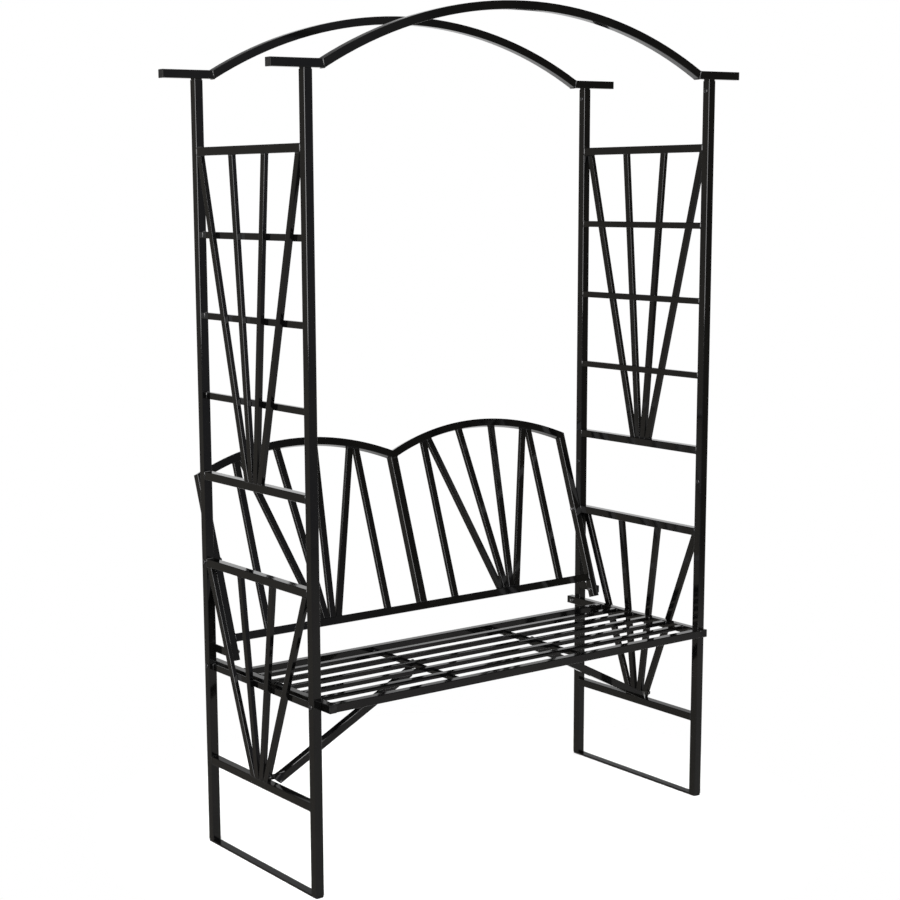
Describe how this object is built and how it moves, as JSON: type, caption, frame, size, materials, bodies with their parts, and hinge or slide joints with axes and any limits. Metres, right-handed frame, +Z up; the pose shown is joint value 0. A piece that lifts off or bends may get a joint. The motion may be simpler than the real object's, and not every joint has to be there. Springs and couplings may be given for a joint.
{
  "type": "arbour seat",
  "caption": "Slim metal garden arch with a slatted bench seat, leaning double-humped back, fan-patterned side trellises and bowed front and rear arches with level ears.",
  "frame": {"origin": "on the floor, at the middle of the whole footprint in both X and Y", "axes": "+X along the seat to the sitter's left, as seen from the front to the right; +Y from the front to the rear; +Z up"},
  "size_m": [1.411, 0.6094, 2.0435],
  "materials": {
    "powder_coat": "gloss black powder coat",
    "cap_plastic": "black moulded plastic, satin",
    "bolt_steel": "black-plated steel, satin",
    "nut_steel": "zinc-plated steel"
  },
  "bodies": {
    "root": {"left_foot_strip": "powder_coat", "right_foot_strip": "powder_coat", "left_lower_front_post": "powder_coat", "right_lower_front_post": "powder_coat", "left_lower_rear_post": "powder_coat", "right_lower_rear_post": "powder_coat", "left_low_bar": "powder_coat", "right_low_bar": "powder_coat", "left_seat_level_rung": "powder_coat", "right_seat_level_rung": "powder_coat", "left_arm_bar": "powder_coat", "right_arm_bar": "powder_coat", "left_lower_fan_bars": "powder_coat", "right_lower_fan_bars": "powder_coat", "left_upper_front_post": "powder_coat", "right_upper_front_post": "powder_coat", "left_upper_rear_post": "powder_coat", "right_upper_rear_post": "powder_coat", "left_sill_bar": "powder_coat", "right_sill_bar": "powder_coat", "left_side_rungs": "powder_coat", "right_side_rungs": "powder_coat", "left_top_bar": "powder_coat", "right_top_bar": "powder_coat", "left_upper_fan_bars": "powder_coat", "right_upper_fan_bars": "powder_coat", "left_brace": "powder_coat", "right_brace": "powder_coat", "front_arch_bow": "powder_coat", "rear_arch_bow": "powder_coat", "front_arch_ears": "powder_coat", "rear_arch_ears": "powder_coat", "ear_spigots": "powder_coat", "post_sleeves": "powder_coat", "ear_caps": "cap_plastic", "left_seat_side_rail": "powder_coat", "right_seat_side_rail": "powder_coat", "seat_front_rail": "powder_coat", "seat_rear_rail": "powder_coat", "seat_slats": "powder_coat", "seat_cross_bars": "powder_coat", "seat_rail_caps": "cap_plastic", "left_back_stile": "powder_coat", "right_back_stile": "powder_coat", "back_centre_post": "powder_coat", "back_bottom_rail": "powder_coat", "left_back_hump": "powder_coat", "right_back_hump": "powder_coat", "left_back_fan_bars": "powder_coat", "right_back_fan_bars": "powder_coat", "back_uprights": "powder_coat", "back_stile_caps": "cap_plastic", "back_brackets": "powder_coat", "post_screws": "bolt_steel", "seat_bolts": "bolt_steel", "back_bolts": "bolt_steel", "brace_bolts": "bolt_steel", "hex_nuts": "nut_steel"}
  },
  "joints": []
}
